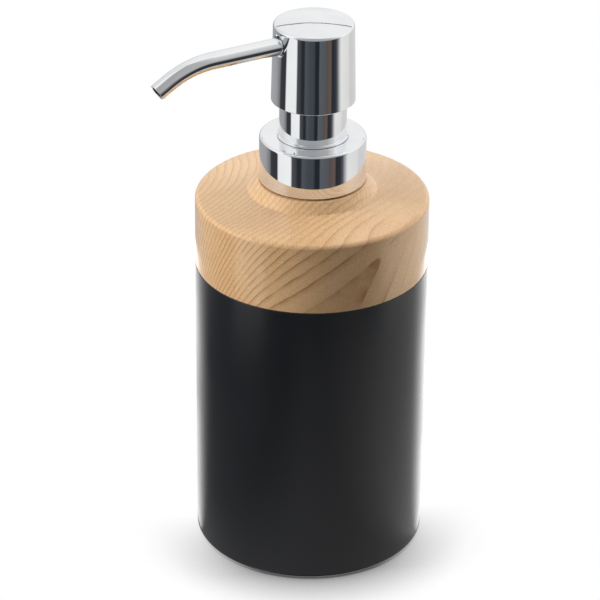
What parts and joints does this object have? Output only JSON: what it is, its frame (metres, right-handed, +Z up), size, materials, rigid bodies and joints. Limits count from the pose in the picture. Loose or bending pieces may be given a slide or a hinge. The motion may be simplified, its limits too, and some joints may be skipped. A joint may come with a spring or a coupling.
{
  "type": "soap pump dispenser",
  "caption": "Cylindrical black soap bottle with a light wooden collar and a chromed press-down pump with a bent tube spout.",
  "frame": {"origin": "centre of the foot pad's underside, on the surface that the bottle stands on, under the pump's axis", "axes": "+Z up along the pump's axis, -Y towards the spout's tip, +X to the object's left when its spout faces the viewer"},
  "size_m": [0.07, 0.0878, 0.1703],
  "materials": {
    "black_shell": "satin gloss black",
    "wood": "light ash, satin lacquer",
    "chrome": "polished chrome plate",
    "moulding": "moulded polypropylene",
    "soft_tube": "soft polyethylene",
    "seal": "silicone rubber",
    "pad": "matt foam rubber",
    "steel": "stainless steel"
  },
  "bodies": {
    "bottle": {"bottle_shell": "black_shell", "foot_pad": "pad", "shoulder_seal": "seal", "neck_insert": "moulding", "wood_collar": "wood"},
    "pump_body": {"neck_gasket": "seal", "pump_housing": "moulding", "guide_tower": "chrome", "dip_tube": "soft_tube", "return_spring": "steel"},
    "closure": {"closure_cap": "moulding", "closure_cover": "chrome"},
    "piston_carriage": {"piston": "soft_tube"},
    "head": {"head_cap": "chrome", "head_core": "moulding", "spout_tube": "chrome", "spout_seal": "seal", "stem": "moulding", "stem_retainer": "moulding"},
    "inlet_valve": {"inlet_ball": "steel"},
    "outlet_valve": {"outlet_ball": "steel"}
  },
  "joints": [
    {"name": "closure_rise", "type": "slide", "parent": "bottle", "child": "pump_body", "axis": [0, 0, 1], "range_m": [0, 0.0074]},
    {"name": "closure_turn", "type": "hinge", "parent": "pump_body", "child": "closure", "pos_m": [0, 0, 0.1268], "axis": [0, 0, 1], "range_deg": [0, 630]},
    {"name": "head_press", "type": "slide", "parent": "pump_body", "child": "piston_carriage", "axis": [0, 0, -1], "range_m": [0, 0.011], "stiffness_N_per_m": 500, "springref_m": -0.01, "deforming": ["return_spring"]},
    {"name": "head_swivel", "type": "hinge", "parent": "piston_carriage", "child": "head", "pos_m": [0, 0, 0.1573], "axis": [0, 0, 1], "continuous": true},
    {"name": "inlet_lift", "type": "slide", "parent": "pump_body", "child": "inlet_valve", "axis": [0, 0, 1], "range_m": [0, 0.0015]},
    {"name": "outlet_lift", "type": "slide", "parent": "head", "child": "outlet_valve", "axis": [0, 0, 1], "range_m": [0, 0.0009]}
  ],
  "couplings": [
    {"joint": "closure_turn", "follows": "closure_rise", "rad_per_m": 1485.4}
  ]
}
